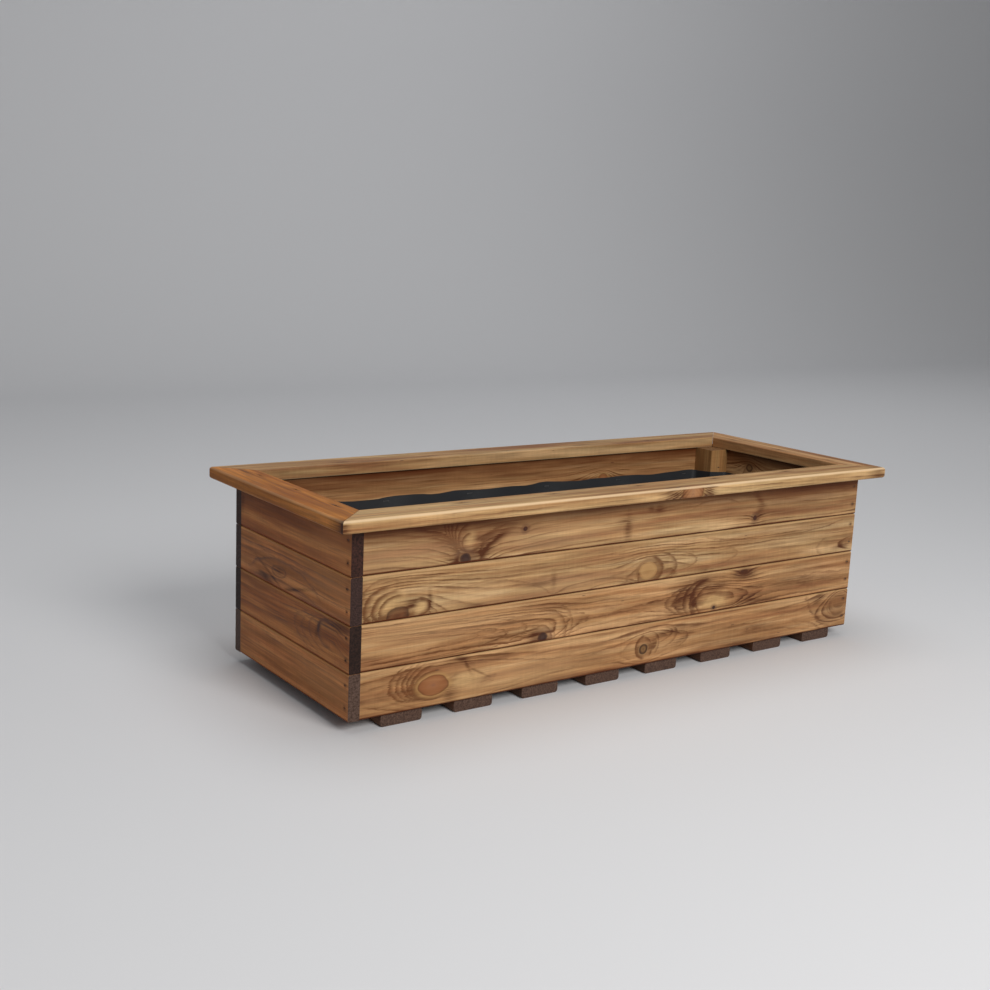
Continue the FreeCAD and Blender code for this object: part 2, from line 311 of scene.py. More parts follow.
    # fibres, planer marks and dark specks
    fibreShade = addNode(tree, "MapRange", [fibre, 0.25, 0.75, *pineStain["fibreShade"]])
    chatterShade = addNode(tree, "MapRange", [grain["chatter"], 0.25, 0.75, *pineStain["chatterShade"]])
    streakShade = addNode(tree, "MapRange", [streak, 0.25, 0.75, *pineStain["streakShade"]])
    for shade in (fibreShade, chatterShade, streakShade):
        colour = addNode(tree, "Mix", [1.0, colour, shade], data_type="RGBA", blend_type="MULTIPLY")
    along, across = pineStain["speckLength"]
    perMm = (1 / along, 1 / across, 1 / across)
    stretched = addNode(tree, "VectorMath", [seeded, perMm], operation="MULTIPLY")
    specks = addNode(tree, "TexVoronoi", {"Vector": stretched, "Scale": 1.0})
    speckLuck = addNode(tree, "SeparateColor", [specks.outputs["Color"]])
    speckSize = addNode(tree, "MapRange", [speckLuck, 0.6, 1.0, 0.0, 0.14])
    speckEdge = addNode(tree, "Math", [speckSize, specks.outputs["Distance"]], operation="SUBTRACT")
    speckCover = addNode(tree, "MapRange", [speckEdge, 0.0, 0.05, 0.0, pineStain["speckCover"]])
    colour = addNode(tree, "Mix", [speckCover, colour, hexToLinear(pineStain["speck"])], data_type="RGBA")

    # knots over the grain
    for kind, distance in nearest.items():
        share = addNode(tree, "Math", [distance, 1 / knotSpan], operation="MULTIPLY")
        look = addNode(tree, "ValToRGB", [share], stops=[
            (radius / knotSpan, hexToLinear(plank.get(shade, shade))[:3] + (cover,))
            for radius, shade, cover in knotKinds[kind]])
        shade, cover = look.outputs["Color"], look.outputs["Alpha"]
        if kind == "smear":  # the grain breaks it up
            grainy = addNode(tree, "MapRange", [fibre, 0.3, 0.7, 1.1, 0.35])
            streaky = addNode(tree, "Math", [late, 1.0, grainy], operation="MULTIPLY_ADD")
            cover = addNode(tree, "Math", [cover, streaky], operation="MULTIPLY", use_clamp=True)
        colour = addNode(tree, "Mix", [cover, colour, shade], data_type="RGBA")

    # upper arris paler: painted highlight with some wear; lower arris darker: painted shade of the groove
    # between boards, with stain gathered there
    height = addNode(tree, "SeparateXYZ", [place]).outputs["Y"]
    begins, full = pineStain["arrisBand"]
    for sign, shade, most in ((1, plank["highlightAndWearTone"], plank["highlightAndWearCover"]), (-1, plank["joint"], plank["jointShadeAndStain"])):
        edge = plank["half"] * sign
        edgeNear = addNode(tree, "MapRange", [height, edge - begins * sign, edge - full * sign, 0.0, most])
        edgeCover = addNode(tree, "Math", [edgeNear, streak], operation="MULTIPLY")
        colour = addNode(tree, "Mix", [edgeCover, colour, hexToLinear(shade)], data_type="RGBA")

    # painted shadow of the rim, darker towards the top edge, with stain gathered there too
    if plank["shade"]:
        lowest, highest = [plank["half"] - drop for drop in pineStain["underRimBand"]]
        rimShadowAndStain = addNode(tree, "MapRange", [height, lowest, highest, 0.0, plank["shade"]])
        uneven = addNode(tree, "MapRange", [blotch, 0.3, 0.7, 0.7, 1.15])
        shadeCover = addNode(tree, "Math", [rimShadowAndStain, uneven], operation="MULTIPLY", use_clamp=True)
        underTone = hexToLinear(pineStain["rimShadowAndStain"])
        colour = addNode(tree, "Mix", [shadeCover, colour, underTone], data_type="RGBA")

    # painted highlight along the rail's outer arris
    normal = coords.outputs["Normal"]
    acrossAxes = plank["axes"][1:]
    leanings = [addNode(tree, "VectorMath", [normal, axis], operation="DOT_PRODUCT") for axis in acrossAxes]
    rounded = addNode(tree, "Math", [n.outputs["Value"] for n in leanings], operation="MULTIPLY")
    arrisHighlight = addNode(tree, "MapRange", [rounded, -0.1, -0.45, 0.0, plank["arris"]])
    colour = addNode(tree, "Mix", [arrisHighlight, colour, hexToLinear(pineStain["arrisHighlight"])], data_type="RGBA")

    # end grain soaks up stain
    facing = addNode(tree, "VectorMath", [normal, plank["axes"][0]], operation="DOT_PRODUCT")
    endOn = addNode(tree, "Math", [facing.outputs["Value"]], operation="ABSOLUTE")
    endCover = addNode(tree, "MapRange", [endOn, 0.55, 0.8, 0.0, 1.0])
    poreSpace = addNode(tree, "VectorMath", [seeded, 1 / pineStain["pore"]], operation="SCALE")
    pores = addNode(tree, "TexNoise", {"Vector": poreSpace, "Scale": 1.0, "Detail": 3.0})
    endTone = addNode(tree, "ValToRGB", [pores], stops=[
        (share, hexToLinear(shade)) for share, shade in zip((0.3, 0.7), plank["ends"])])
    colour = addNode(tree, "Mix", [endCover, colour, endTone], data_type="RGBA")

    sheen = addNode(tree, "MapRange", [late, 0.0, 1.0, *reversed(pineStain["roughness"])])
    rougher = pineStain["fibreRoughness"]
    grit = addNode(tree, "MapRange", [fibre, 0.0, 1.0, -rougher, rougher])
    roughness = addNode(tree, "Math", [sheen, grit], operation="ADD")
    fibreRelief = addNode(tree, "Math", [fibre, 0.6], operation="MULTIPLY")
    relief = addNode(tree, "Math", [late, 0.5, fibreRelief], operation="MULTIPLY_ADD")
    bump = addNode(tree, "Bump", {
        "Height": relief,
        "Strength": pineStain["reliefStrength"],
        "Distance": pineStain["relief"] * mm,
    })
    closeMaterial(tree, {
        "Base Color": colour,
        "Roughness": roughness,
        "Normal": bump,
        "Specular IOR Level": pineStain["specular"],
    })
    return material


# Walls: u runs along the board from the trough's left corner, v up from the board's middle, in mm
wallTurns = {"front": 0, "right_end": 90, "back": 180, "left_end": 270}
wallLengths = {"front": 1040, "right_end": 375, "back": 1040, "left_end": 375}
stains = {  # pale, middle and dark shade
    "honey": ("#c5a276", "#ae885c", "#906543"),
    "amber": ("#c89e70", "#ad8054", "#8d603e"),
    "red": ("#bf7f48", "#a96839", "#8c532a"),
    "rust": ("#d29057", "#bc7946", "#9d6336"),
    "straw": ("#cda978", "#ba9364", "#9f7349"),
    "orange": ("#cb8642", "#b27130", "#955927"),
}
# a knot without a kind is a smear of stain; an arc is
# (u, v, half length, half height, turn, cut, thickness, depth)
# the broad paler and darker zones in these tables are painted light and painted shade, paler near the
# trough's front left corner and darker away from it
frontPlanks = {
    4: {"stain": stains["honey"], "heart": (-90.0, 30.0),
        "wave": 5.0, "contrast": 0.85, "knots": [
            {"at": (880, 8), "core": (110, 22), "kind": "paintedShadeAndStain"},
            {"at": (90, -12), "core": (70, 16), "kind": "paintedLight"},
            {"at": (345, -10), "core": (80, 16), "kind": "paintedLight"},
            {"at": (189, -27), "core": (11, 8), "kind": "dark"},
            {"at": (191, -29), "flow": (34, 34, 1.25), "lift": 36.0, "reach": 1.2, "calm": 0.9},
            {"at": (196, 4), "core": (11, 13), "turn": -20, "kind": "bare"},
            {"at": (222, -15), "core": (27, 10), "turn": 48},
            {"at": (240, -4), "core": (24, 6), "turn": 28},
            {"at": (168, -28), "core": (14, 5), "turn": -14},
            {"at": (295, 7), "core": (4.5, 4), "kind": "dark",
             "flow": (10, 8, 1.0), "lift": 8.0, "reach": 1.5},
            # along the top edge: stain deepened by painted rim shadow
            {"at": (110, 26), "core": (70, 6), "turn": -1},
            {"at": (498, -8), "core": (6, 18)},
            {"at": (494, 2), "core": (14, 4)},
            {"at": (545, 16), "core": (6, 4)},
            {"at": (562, 15), "core": (9, 6), "flow": (14, 6, 1.0), "lift": 6.0, "reach": 1.0},
            {"at": (782, -20), "core": (5, 5), "kind": "dark",
             "flow": (12, 8, 1.0), "lift": 8.0, "reach": 1.0},
            {"at": (793, -10), "core": (15, 7), "turn": 48},
            {"at": (792, 10), "core": (18, 5), "turn": -46},
            # along the top edge at the right end: stain deepened by painted rim shadow
            {"at": (950, 30), "core": (110, 9), "turn": -2},
        ], "arcs": [
            (110, -23, 67, 44, 0, -0.2, 6, 1.0), (118, -23, 59, 37, 0, -0.2, 5, 0.8),
            (126, -23, 51, 31, 0, -0.2, 5, 1.0), (134, -23, 43, 25, 0, -0.2, 4, 0.8),
            (143, -23, 34, 18, 0, -0.2, 4, 0.9), (152, -23, 26, 11, 0, -0.2, 4, 0.7),
            (196, -4, 14, 14, 205, -0.6, 4, 0.8), (196, 3, 21, 21, 205, -0.5, 4, 0.85),
            (197, 10, 28, 28, 205, -0.4, 4, 0.9), (198, 17, 35, 35, 205, -0.2, 4, 0.9),
            (199, 24, 42, 42, 205, -0.1, 4, 0.8), (200, 32, 50, 50, 205, 0.0, 4, 0.7),
            (290, -34, 74, 42, 180, 0.2, 9, 0.8), (320, -38, 110, 50, 165, 0.3, 6, 0.6),
            (690, 0, 20, 60, 90, 0.3, 5, 0.5),
        ]},
    3: {"stain": stains["honey"], "spacing": 4.6, "heart": (-36.0, 42.0),
        "deepest": 90.0, "wave": 4.0, "contrast": 0.8, "knots": [
            {"at": (370, -16), "core": (75, 12), "kind": "paintedLight"},
            {"at": (215, -10), "core": (50, 14), "kind": "paintedLight"},
            {"at": (930, 16), "core": (100, 14), "kind": "paintedShade"},
            {"at": (64, -8), "core": (26, 17), "kind": "bare"},
            {"at": (115, -20), "core": (12, 10), "kind": "bare"},
            {"at": (77, -28), "core": (19, 11), "turn": 8, "kind": "burr"},
            {"at": (84, -30), "flow": (34, 30, 1.2), "lift": -40.0, "reach": 1.2, "calm": 1.1},
            {"at": (100, -16), "core": (12, 5), "turn": 18},
            {"at": (131, -14), "core": (3.5, 11), "turn": 8},
            {"at": (546, -16), "core": (20, 15), "kind": "pale",
             "flow": (20, 16, 2.6), "lift": -26.0, "reach": 1.3, "calm": 1.0},
            {"at": (354, -9), "core": (4, 9), "kind": "paintedShadeAndStain"},
            {"at": (326, -13), "core": (24, 2), "turn": 1, "kind": "paintedShadeAndStain"},
            {"at": (1014, -20), "core": (16, 5), "turn": 8},
        ], "arcs": [
            (60, -14, 39, 29, 186, -0.3, 7, 1.0), (70, -17, 35, 25, 186, -0.5, 7, 1.0),
            (78, -20, 31, 21, 180, -0.4, 6, 0.9), (62, -12, 46, 38, 150, -0.1, 4, 0.6),
            (112, -20, 18, 13, 0, -0.2, 7, 1.0), (546, -16, 24, 19, 0, -2.0, 5, 0.45),
            (546, -15, 31, 22, 0, 0.1, 10, 1.0), (556, -12, 51, 26, 0, 0.1, 6, 0.75),
            (590, -8, 62, 17, 0, 0.3, 5, 0.6), (650, -6, 95, 20, 0, 0.4, 5, 0.4),
            (440, -38, 20, 88, 90, 0.1, 6, 0.8), (470, -38, 12, 50, 90, 0.1, 4, 0.6),
            (462, 14, 14, 66, 270, 0.2, 4, 0.5), (270, -44, 44, 110, 78, 0.4, 5, 0.6),
            (840, 40, 28, 190, 270, 0.3, 7, 0.75), (1050, -18, 48, 12, 180, 0.2, 7, 0.9),
            (1020, -20, 76, 24, 180, 0.4, 5, 0.4),
        ]},
    2: {"stain": stains["amber"], "spacing": 4.4, "heart": (-7.0, 6.0),
        "lean": 0.062, "deepest": 30.0, "wave": 3.0, "contrast": 0.85, "knots": [
            {"at": (130, 16), "core": (120, 16), "kind": "paintedLight"},
            {"at": (930, 12), "core": (80, 16), "kind": "paintedShade"},
            {"at": (338, -28), "core": (10, 8), "kind": "dark",
             "flow": (22, 20, 3.0), "turn": 180, "lift": -20.0, "reach": 1.4, "calm": 1.0},
            {"at": (320, -24), "core": (10, 9)},
            {"at": (704, -20), "flow": (44, 20, 1.2), "turn": 180, "lift": -32.2, "reach": 0.9, "calm": 1.0},
            {"at": (632, 0), "core": (26, 20), "turn": 12},
            {"at": (668, 22), "core": (34, 8), "turn": 4},
            {"at": (652, -8), "core": (6, 22), "turn": 6},
            {"at": (704, 9), "core": (20, 6), "turn": 8},
            {"at": (700, -27), "core": (4, 3.5), "kind": "dark"},
            {"at": (700, -15), "core": (38, 15), "kind": "bare"},
            {"at": (768, 25), "core": (21, 9), "flow": (24, 10, 1.0), "lift": 14.0, "reach": 1.2},
            {"at": (766, 27), "core": (10, 5), "kind": "dark"},
            {"at": (790, -24), "core": (36, 8), "turn": -6},
            {"at": (920, -6), "core": (80, 5), "turn": -2},
        ], "arcs": [
            (70, -11, 201, 19, 0, -0.1, 6, 0.85), (60, -8, 160, 10, 0, 0.0, 5, 0.7),
            (110, -8, 200, 29, 0, 0.0, 5, 0.7), (336, -30, 19, 22, 20, -0.4, 4, 0.75),
            (328, -30, 34, 30, 20, 0.1, 3, 0.45), (326, -28, 58, 44, 12, 0.2, 6, 0.65),
            (322, -22, 74, 50, 10, 0.3, 4, 0.5), (690, -8, 100, 30, 180, 0.1, 5, 0.6),
            (690, -8, 80, 34, 180, 0.1, 5, 0.55), (690, -10, 62, 38, 180, 0.0, 6, 0.6),
            (688, -12, 44, 38, 182, -0.1, 8, 0.85), (690, -14, 32, 27, 182, -0.2, 6, 0.8),
        ]},
    1: {"stain": stains["amber"], "spacing": 7.0, "heart": (-8.0, 32.0),
        "wave": 6.0, "contrast": 0.8, "knots": [
            {"at": (290, -8), "core": (95, 18), "kind": "paintedLight"},
            {"at": (1010, 4), "core": (30, 24), "kind": "paintedShadeAndStain"},
            {"at": (760, -14), "core": (150, 12), "kind": "paintedShade"},
            {"at": (141, -2.5), "core": (25.5, 15), "kind": "red"},
            {"at": (150, -4), "flow": (48, 30, 2.0), "lift": -46.0, "reach": 0.9, "calm": 1.05},
            {"at": (196, -5), "core": (36, 11), "kind": "bare"},
            {"at": (170, -23), "core": (10, 9)},
            {"at": (186, 33), "core": (16, 4), "turn": -30},
            {"at": (199, 20), "core": (13, 2.5), "turn": -60},
            {"at": (218, 7), "core": (15, 1.6), "turn": -28},
            {"at": (547, -8), "core": (9, 8.5), "kind": "ring",
             "flow": (14, 13, 1.8), "turn": 25, "lift": -26.0, "reach": 1.6, "calm": 1.2},
            {"at": (592, 12), "core": (26, 4), "turn": 6},
            {"at": (632, -3), "core": (16, 4), "turn": 22},
            {"at": (966, 26), "core": (14, 6), "turn": 30},
            {"at": (1022, 16), "flow": (30, 28, 1.3), "turn": 190, "lift": -80.0, "reach": 0.9, "calm": 0.5},
        ], "arcs": [
            (142, -2, 34, 22, 184, -0.5, 5, 1.0), (148, 4, 45, 27, 188, -0.1, 7, 1.0),
            (150, 8, 55, 30, 188, 0.1, 5, 0.9), (150, 10, 64, 32, 188, 0.2, 5, 0.9),
            (151, 12, 75, 34, 188, 0.3, 4, 0.8), (152, 14, 88, 36, 188, 0.4, 5, 0.9),
            (548, -5, 18, 19, 180, -0.2, 6, 1.0), (556, -2, 25, 23, 20, 0.2, 4, 0.5),
            (566, 6, 54, 22, 6, 0.3, 5, 0.7), (566, 10, 44, 14, 6, 0.1, 4, 0.6),
            (600, -4, 46, 16, 8, 0.2, 4, 0.5), (547, -6, 17, 20, 40, -0.2, 5, 0.7),
            (1040, 80, 122, 118, 228, 0.6, 6, 0.7), (1020, 17, 30, 25, 240, 0.2, 6, 0.6),
            (900, -55, 85, 45, 0, 0.0, 4, 0.6),
        ]},
}
leftPlanks = {
    4: {"stain": stains["red"], "knots": [
        {"at": (335, 4), "core": (60, 22), "kind": "paintedLight"},
        # along the top edge: stain deepened by painted rim shadow
        {"at": (110, 26), "core": (80, 8)},
        {"at": (24, 8), "core": (6, 14), "turn": -8}]},
    3: {"stain": stains["rust"], "spacing": 7.0, "knots": [
        {"at": (320, 14), "core": (60, 16), "kind": "paintedLight"},
        {"at": (70, -14), "core": (60, 14), "kind": "paintedShade"},
        {"at": (154, -8), "core": (17, 5), "turn": 4},
        {"at": (205, -24), "core": (42, 2.2), "turn": 14},
        {"at": (130, -20), "core": (38, 2.4), "turn": -20},
        {"at": (112, -28), "core": (24, 6), "turn": -12},
        {"at": (165, -8), "flow": (70, 22, 1.2), "turn": 4, "lift": -18.0, "reach": 0.9, "calm": 1.1}],
        "arcs": [(170, -44, 54, 130, 90, 0.3, 6, 0.9), (172, -44, 64, 150, 90, 0.5, 4, 0.6),
                 (154, -8, 24, 9, 4, -2.0, 4, 0.6)]},
    2: {"stain": stains["red"], "knots": [
        {"at": (316, 12), "flow": (24, 17, 2.6), "turn": 184, "lift": -30.0, "reach": 1.1, "calm": 0.9},
        {"at": (282, 7), "core": (4, 12), "turn": -25},
        {"at": (350, 27), "core": (30, 8), "turn": 6}],
        "arcs": [(310, 8, 28, 20, 184, -0.4, 8, 0.8), (312, 5, 58, 27, 180, 0.0, 5, 0.6),
                 (312, 1, 82, 30, 180, 0.1, 5, 0.5), (312, 0, 104, 33, 180, 0.2, 6, 0.55)]},
    1: {"stain": stains["rust"], "knots": [
        {"at": (310, 8), "core": (80, 22), "kind": "paintedLight"},
        {"at": (20, 0), "core": (36, 26), "kind": "paintedShade"}]},
}
otherKnots = {
    "back": {4: [(300, -12, 12, 10, "red")], 3: [(720, 14, 15, 12, "red"), (180, -8, 6, 5, "dark")],
             2: [(455, -20, 10, 9, "dark")], 1: [(850, 4, 20, 15, "red"), (120, 18, 7, 6, "ring")]},
    "right_end": {4: [(250, 8, 9, 8, "ring")], 3: [], 2: [(110, -14, 16, 12, "red")],
                  1: [(280, 20, 7, 6, "dark")]},
}
endShades = {
    4: ("#1c0e09", "#442820"),
    3: ("#231610", "#45302c"),
    2: ("#160b07", "#34211a"),
    1: ("#39281f", "#634e44"),
}


def boardAxes(degrees):
    c, s = round(math.cos(math.radians(degrees))), round(math.sin(math.radians(degrees)))
    return ((c, s, 0), (0, 0, 1), (s, -c, 0))


def boardOrigin(node, axes):
    # left end of the board, half way up, on its outer face
    low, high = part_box(node)
    middle = (low + high) / 2
    half = (high - low) / 2
    along, outward = (Vector(axis) * half.dot([abs(a) for a in axis]) for axis in (axes[0], axes[2]))
    return middle - along + outward


def dress(node, material):
    for slot in cadNodes[node].material_slots:
        slot.material = material


boardThickness = 19 * mm
seedTurn = 17.0  # degrees of a wall's turn that move its seed on by 1
plainPlank = {
    "stain": stains["amber"],
    "late": ("#5f310c", "#5a2d10"),
    "smear": "#4f280f",
    # paler tone of the painted light
    "paintedLightTone": "#dcb888",
    # paler upper arris: painted highlight with some wear; dark lower arris: painted groove shade with stain
    "highlightAndWearTone": "#c9a373",
    "joint": "#4f2000",
    "spacing": 6.0,          # mm between rings
    "heart": (-30.0, 20.0),  # mm up from the board's middle and behind its face
    "lean": 0.0,
    "deepest": 60.0,
    "wave": 7.0,
    "contrast": 0.95,
    "half": 34.75,           # mm from the board's middle to its edge
    # covers of the painted highlight with wear on the upper arris and of the painted groove shade with stain
    "highlightAndWearCover": 1.0,
    "jointShadeAndStain": 3.0,
    # cover of the painted highlight on a rail's outer arris
    "arris": 0.0,
    # cover of the painted rim shadow
    "shade": 0.0,
    "knots": [],
    "arcs": [],
}
redderPlank = {  # the left wall's stain is redder than the front's
    "late": ("#5c2e10", "#552b11"),
    "smear": "#4a230e",
    # its tones for painted light, for the painted highlight with wear on the upper arris and for the painted
    # groove shade with stain, redder too
    "paintedLightTone": "#e0a468",
    "highlightAndWearTone": "#cf9a5e",
    "joint": "#803600",
    "contrast": 0.75,
}
# share of painted rim shadow on each wall's top board
underRimShade = 0.9
plainFlow = {"reach": 1.3, "calm": 0.8}  # how the grain runs round a knot on the plain walls
cornerNails = {"inset": 9.5, "heights": (-16, 16.7), "core": (3.5, 3)}  # mm, and stain gathers round them
for side, degrees in wallTurns.items():
    for course in (1, 2, 3, 4):
        node = "%s_board_%d" % (side, course)
        axes = boardAxes(degrees)
        plank = dict(plainPlank, shade=underRimShade if course == 4 else 0.0)
        if side == "front":
            plank.update(frontPlanks[course])
        if side == "left_end":
            plank.update(leftPlanks[course], **redderPlank)
        if side in otherKnots:
            plank["knots"] = [
                {"at": (u, v), "core": (long, tall), "kind": kind, "flow": (long * 1.2, tall * 1.2, 1.5),
                 "turn": 180 * (u % 2), "lift": -3.0 * long - 14, **plainFlow}
                for u, v, long, tall, kind in otherKnots[side][course]]
        plank["knots"] = plank["knots"] + [
            {"at": (wallLengths[side] - cornerNails["inset"], v), "core": cornerNails["core"]}
            for v in cornerNails["heights"]]
        corner = boardOrigin(node, axes) - Vector(axes[0]) * boardThickness
        plank.update(axes=axes, origin=corner, seed=course + degrees / seedTurn, ends=endShades[course])
        dress(node, plankWood("stained_pine_" + node, plank))
print("walls dressed")

# Rim: u along the rail from its left mitre tip, v in from its middle; stain sits dark round each nail head
longNails, shortNails = (216, 384, 552, 720, 888), (97, 219.5, 342)
# each rail's share of painted highlight along its outer arris, most on the front rail
rimRails = {
    "front": {"turn": 0, "stain": "straw", "arrisHighlightShare": 0.75, "nails": longNails, "marks": [
        {"at": (634, -30), "core": (22, 10), "kind": "red",
         "flow": (24, 14, 1.0), "lift": -40.0, "reach": 1.0},
        {"at": (596, -28), "core": (20, 6)},
        {"at": (670, -28), "core": (12, 5)},
        {"at": (2, -30), "core": (6, 6)},
        {"at": (1085, -24), "core": (18, 10)}]},
    "right": {"turn": 90, "stain": "amber", "arrisHighlightShare": 0.5, "nails": shortNails, "marks": []},
    "back": {"turn": 180, "stain": "honey", "arrisHighlightShare": 0.5, "nails": longNails, "marks": []},
    "left": {"turn": 270, "stain": "orange", "arrisHighlightShare": 0.2, "nails": shortNails, "marks": [
        {"at": (437, -29), "core": (5, 4), "kind": "dark"},
        {"at": (428, -28), "core": (15, 7)},
        {"at": (60, 5), "core": (40, 5)}]},
}
railPlank = dict(plainPlank, half=28.75, highlightAndWearCover=0.0, jointShadeAndStain=0.0, contrast=0.7, ends=endShades[1])
railNail = {"line": 12.75, "core": (13, 3)}
railSeed = 9
for name, rail in rimRails.items():
    node = name + "_rim_rail"
    outward = boardAxes(rail["turn"])
    axes = (outward[0], tuple(-a for a in outward[2]), (0, 0, 1))
    nailMarks = [{"at": (u, railNail["line"]), "core": railNail["core"]} for u in rail["nails"]]
    plank = dict(railPlank, arris=rail["arrisHighlightShare"], stain=stains[rail["stain"]], knots=rail["marks"] + nailMarks)
    plank.update(axes=axes, origin=boardOrigin(node, axes), seed=railSeed + rail["turn"] / seedTurn)
    dress(node, plankWood("stained_pine_" + node, plank))
print("rim dressed")

# Slats: rough sawn and dipped, so they are dark all over, with speckled end grain
slatStain = {"stain": ("#6b4c3a", "#5c4133", "#4c352a"), "ends": ("#3d2b24", "#644d41"), "highlightAndWearCover": 0.0,
             "jointShadeAndStain": 0.0}
slatNodes = ["floor_slat_%d" % number for number in range(1, 9)]
slatSeed, slatSeedStep = 20, 1.7
for number, node in enumerate(slatNodes, 1):
    axes = ((0, 1, 0), (-1, 0, 0), (0, 0, 1))
    plank = dict(plainPlank, **slatStain)
    plank.update(axes=axes, origin=boardOrigin(node, axes), seed=slatSeed + number * slatSeedStep)
    dress(node, plankWood("dipped_pine_" + node, plank))

# Posts: sawn pine under one thin coat of stain, duller than the walls
postStain = {"stain": ("#a67d50", "#936b41", "#7c5732"), "ends": ("#65462d", "#83603e"), "half": 22.0,
             "contrast": 0.45, "highlightAndWearCover": 0.0, "jointShadeAndStain": 0.0}
postSeed, postSeedStep = 40, 1.3
for number, node in enumerate(("front_left_post", "front_right_post", "back_left_post", "back_right_post")):
    axes = ((0, 0, 1), (1, 0, 0), (0, 1, 0))
    plank = dict(plainPlank, **postStain)
    plank.update(axes=axes, origin=boardOrigin(node, axes), seed=postSeed + number * postSeedStep)
    dress(node, plankWood("sawn_pine_" + node, plank))
print("slats and posts dressed")


# Galvanised steel: drawn wire under zinc, grey with a cloudy bloom, duller on the driven nails
zincFinishes = {
    "galvanised_steel_dulled": {
        "nodes": ("corner_brads", "post_brads", "floor_brads", "rim_brads"),
        "bloom": 1.2,  # mm
        "dark": "#55504b",
        "light": "#7d7872",
        "roughness": (0.5, 0.7),
    },
    "galvanised_steel_bright": {
        "nodes": ("liner_staples",),
        "bloom": 1.5,
        "dark": "#a5a7a8",
        "light": "#c9cbcc",
        "roughness": (0.28, 0.45),
    },
}


def zincSteel(name, zinc):
    material, tree = newMaterial(name)
    coords = addNode(tree, "TexCoord")
    bloom = addNode(tree, "TexNoise", {
        "Vector": coords.outputs["Object"],
        "Scale": 1 / (zinc["bloom"] * mm),
        "Detail": 3.0,
    })
    colour = addNode(tree, "ValToRGB", [bloom], stops=[
        (0.35, hexToLinear(zinc["dark"])), (0.65, hexToLinear(zinc["light"]))])
    roughness = addNode(tree, "MapRange", [bloom, 0.3, 0.7, *zinc["roughness"]])
    closeMaterial(tree, {"Base Color": colour, "Metallic": 1.0, "Roughness": roughness})
    return material


for name, zinc in zincFinishes.items():
    finish = zincSteel(name, zinc)
    for node in zinc["nodes"]:
        dress(node, finish)
print("fasteners dressed")


def pick(obj, test, part="FACE"):
    # selects the faces, or the edges, whose middle passes the test, and leaves the object in edit mode
    bpy.ops.object.mode_set(mode="EDIT")
    bpy.ops.mesh.select_mode(type=part)
    bpy.ops.mesh.select_all(action="DESELECT")
    bpy.ops.object.mode_set(mode="OBJECT")
    points = [v.co for v in obj.data.vertices]
    for shape in obj.data.polygons if part == "FACE" else obj.data.edges:
        shape.select = test(sum((points[i] for i in shape.vertices), Vector()) / len(shape.vertices))
    bpy.ops.object.mode_set(mode="EDIT")


def cutAll(places, normal):
    # one straight cut through the whole mesh at each place
    for place in places:
        bpy.ops.mesh.select_all(action="SELECT")
        bpy.ops.mesh.bisect(plane_co=place, plane_no=normal)


# Liner: one sheet of woven plastic, folded up at the sides and into the corners, stapled below the rim
linerCloth = {
    "name": "liner_cloth",
    "black": "#1a1b1d",
    # painted sheen on the tapes lying one way
    "sheenGrey": "#3a3c40",
    "tape": 2.4,           # mm, width of a tape
    "tapeRelief": 0.4,
    "thickness": 0.8,
    "bend": 9.0,           # radius of the soft corners
    "step": 17.0,          # between the cuts that let it ripple
    "cutsLong": 26,        # of them on each side of the middle
    "cutsShort": 6,
    "rows": 10,
    "slack": 6.0,          # how far its edge stands off the wall between staples
    "belly": 5.0,          # how far its sides stand off lower down
    "floorRise": 3.0,
    "floorEdge": 60.0,     # width of the floor's flat margin
    "edgeDrop": 4.0,       # unevenness of the cut edge
    "flap": 88.0,          # width of the corner folds at the top edge
    "flapRise": 2.0,
    "fold": 2.5,           # width of the crease beside a corner fold
    "nearPost": 45.0,      # how far from a post the slack begins
    "staplesLong": 6,
    "staplePitch": 170.8,  # along the long walls
    "staplesShort": (-94.5, 94.5),
    "stapleHeight": 247.5,
    "held": 20.0,          # how far round a staple the sheet lies flat
    "flat": (1.476, 0.811),  # metres, unfolded
}


# Woven polypropylene: flat black tapes one over, one under, with a dull sheen; the sheen on the tapes lying
# one way is painted in grey
def wovenTape(name, cloth):
    material, tree = newMaterial(name)
    weave = addNode(tree, "UVMap", uv_map="weave")
    perTape = math.pi / (cloth["tape"] * mm)
    count = addNode(tree, "VectorMath", {"Vector": weave, "Scale": perTape}, operation="SCALE")
    split = addNode(tree, "SeparateXYZ", [count])
    swell = [addNode(tree, "Math", [split.outputs[axis]], operation="SINE") for axis in ("X", "Y")]
    over = addNode(tree, "Math", swell, operation="MULTIPLY")
    tall = addNode(tree, "Math", [over], operation="ABSOLUTE")
    side = addNode(tree, "MapRange", [over, -0.15, 0.15, 0.0, 0.45])
    dust = addNode(tree, "TexNoise", {"Vector": weave, "Scale": 14.0, "Detail": 4.0})
    # painted sheen: grey on the tapes lying one way, with dust
    sheenAndDust = addNode(tree, "Math", [dust, 0.5, side], operation="MULTIPLY_ADD")
    shades = [hexToLinear(cloth["black"]), hexToLinear(cloth["sheenGrey"])]
    colour = addNode(tree, "Mix", [sheenAndDust, *shades], data_type="RGBA")
    roughness = addNode(tree, "MapRange", [side, 0.0, 0.45, 0.4, 0.58])
    bump = addNode(tree, "Bump", {"Height": tall, "Strength": 0.5, "Distance": cloth["tapeRelief"] * mm})
    closeMaterial(tree, {"Base Color": colour, "Roughness": roughness, "Normal": bump})
    return material


